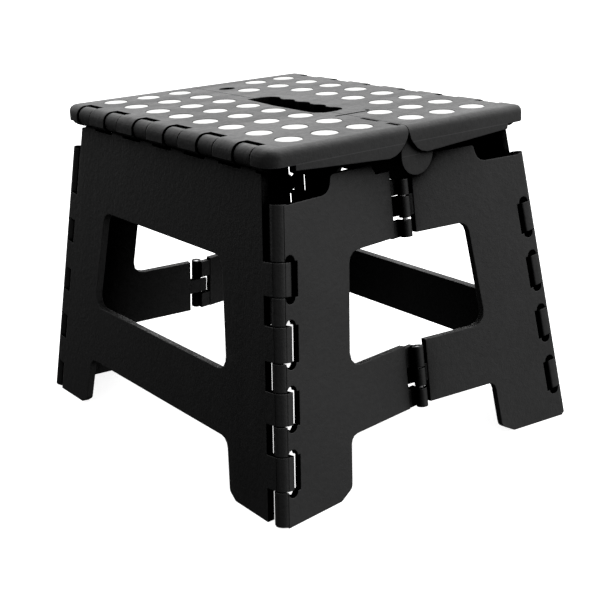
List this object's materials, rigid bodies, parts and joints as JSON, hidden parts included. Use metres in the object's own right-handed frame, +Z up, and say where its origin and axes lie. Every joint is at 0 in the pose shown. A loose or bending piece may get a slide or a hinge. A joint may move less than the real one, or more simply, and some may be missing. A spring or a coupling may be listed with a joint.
{
  "type": "folding step stool",
  "caption": "Low folding step stool of black plastic: a two-part deck with white tread dots and a hand slot, on two legs joined by inward-folding panels.",
  "frame": {"origin": "on the floor under the middle of the deck", "axes": "+Z up; Y along the line where the deck folds, with the front at -Y; X across the stool, from the left leg to the right leg"},
  "size_m": [0.2624, 0.3154, 0.228],
  "materials": {
    "black_plastic": "fine matte moulded texture",
    "white_rubber": "smooth matte",
    "pin_steel": "drawn wire"
  },
  "bodies": {
    "leg_left": {"leg_left": "black_plastic", "hinge_pin_leg_left": "pin_steel"},
    "leg_right": {"leg_right": "black_plastic", "hinge_pin_leg_right": "pin_steel"},
    "front_left": {"folding_panel_front_left": "black_plastic", "hinge_pin_fold_front_upper": "pin_steel", "hinge_pin_fold_front_lower": "pin_steel"},
    "front_right": {"folding_panel_front_right": "black_plastic"},
    "back_left": {"folding_panel_back_left": "black_plastic"},
    "back_right": {"folding_panel_back_right": "black_plastic", "hinge_pin_fold_back_upper": "pin_steel", "hinge_pin_fold_back_lower": "pin_steel"},
    "deck_left": {"deck_left": "black_plastic", "hinge_pin_deck_front": "pin_steel", "hinge_pin_deck_back": "pin_steel", "tread_dot_left_01": "white_rubber", "tread_dot_left_02": "white_rubber", "tread_dot_left_03": "white_rubber", "tread_dot_left_04": "white_rubber", "tread_dot_left_05": "white_rubber", "tread_dot_left_06": "white_rubber", "tread_dot_left_07": "white_rubber", "tread_dot_left_08": "white_rubber", "tread_dot_left_09": "white_rubber", "tread_dot_left_10": "white_rubber", "tread_dot_left_11": "white_rubber", "tread_dot_left_12": "white_rubber", "tread_dot_left_13": "white_rubber", "tread_dot_left_14": "white_rubber", "tread_dot_left_15": "white_rubber", "tread_dot_left_16": "white_rubber", "tread_dot_left_17": "white_rubber", "tread_dot_left_18": "white_rubber", "tread_dot_left_19": "white_rubber", "tread_dot_left_20": "white_rubber", "tread_dot_left_21": "white_rubber", "tread_dot_left_22": "white_rubber", "tread_dot_left_23": "white_rubber", "tread_dot_left_24": "white_rubber"},
    "deck_right": {"deck_right": "black_plastic", "tread_dot_right_01": "white_rubber", "tread_dot_right_02": "white_rubber", "tread_dot_right_03": "white_rubber", "tread_dot_right_04": "white_rubber", "tread_dot_right_05": "white_rubber", "tread_dot_right_06": "white_rubber", "tread_dot_right_07": "white_rubber", "tread_dot_right_08": "white_rubber", "tread_dot_right_09": "white_rubber", "tread_dot_right_10": "white_rubber", "tread_dot_right_11": "white_rubber", "tread_dot_right_12": "white_rubber", "tread_dot_right_13": "white_rubber", "tread_dot_right_14": "white_rubber", "tread_dot_right_15": "white_rubber", "tread_dot_right_16": "white_rubber", "tread_dot_right_17": "white_rubber", "tread_dot_right_18": "white_rubber", "tread_dot_right_19": "white_rubber"}
  },
  "joints": [
    {"name": "front_left_fold", "type": "hinge", "parent": "leg_left", "child": "front_left", "pos_m": [-0.12575, -0.15222, 0], "axis": [0.1245, 0.1281, 0.9839], "range_deg": [0, 84.13]},
    {"name": "front_centre_fold", "type": "hinge", "parent": "front_left", "child": "front_right", "pos_m": [0, -0.14715, 0], "axis": [0, 0.1242, 0.9923], "range_deg": [-166.53, 0]},
    {"name": "front_right_fold", "type": "hinge", "parent": "front_right", "child": "leg_right", "pos_m": [0.12575, -0.15222, 0], "axis": [-0.1245, 0.1281, 0.9839], "range_deg": [0, 84.14]},
    {"name": "back_left_fold", "type": "hinge", "parent": "leg_left", "child": "back_left", "pos_m": [-0.12575, 0.15222, 0], "axis": [0.1245, -0.1281, 0.9839], "range_deg": [-84.14, 0]},
    {"name": "back_right_fold", "type": "hinge", "parent": "leg_right", "child": "back_right", "pos_m": [0.12575, 0.15222, 0], "axis": [-0.1245, -0.1281, 0.9839], "range_deg": [0, 84.14]},
    {"name": "deck_left_hinge", "type": "hinge", "parent": "leg_left", "child": "deck_left", "pos_m": [-0.102, 0, 0.2204], "axis": [0, -1, 0], "range_deg": [0, 83.36]},
    {"name": "deck_right_hinge", "type": "hinge", "parent": "leg_right", "child": "deck_right", "pos_m": [0.102, 0, 0.2204], "axis": [0, 1, 0], "range_deg": [0, 83.36]}
  ],
  "couplings": [
    {"joint": "front_centre_fold", "follows": "front_left_fold", "ratio": -1.9792},
    {"joint": "front_right_fold", "follows": "front_left_fold", "ratio": 1},
    {"joint": "back_left_fold", "follows": "front_left_fold", "ratio": -1},
    {"joint": "back_right_fold", "follows": "front_left_fold", "ratio": 1},
    {"joint": "deck_left_hinge", "follows": "front_left_fold", "ratio": 0.99066},
    {"joint": "deck_right_hinge", "follows": "front_left_fold", "ratio": 0.99066}
  ]
}
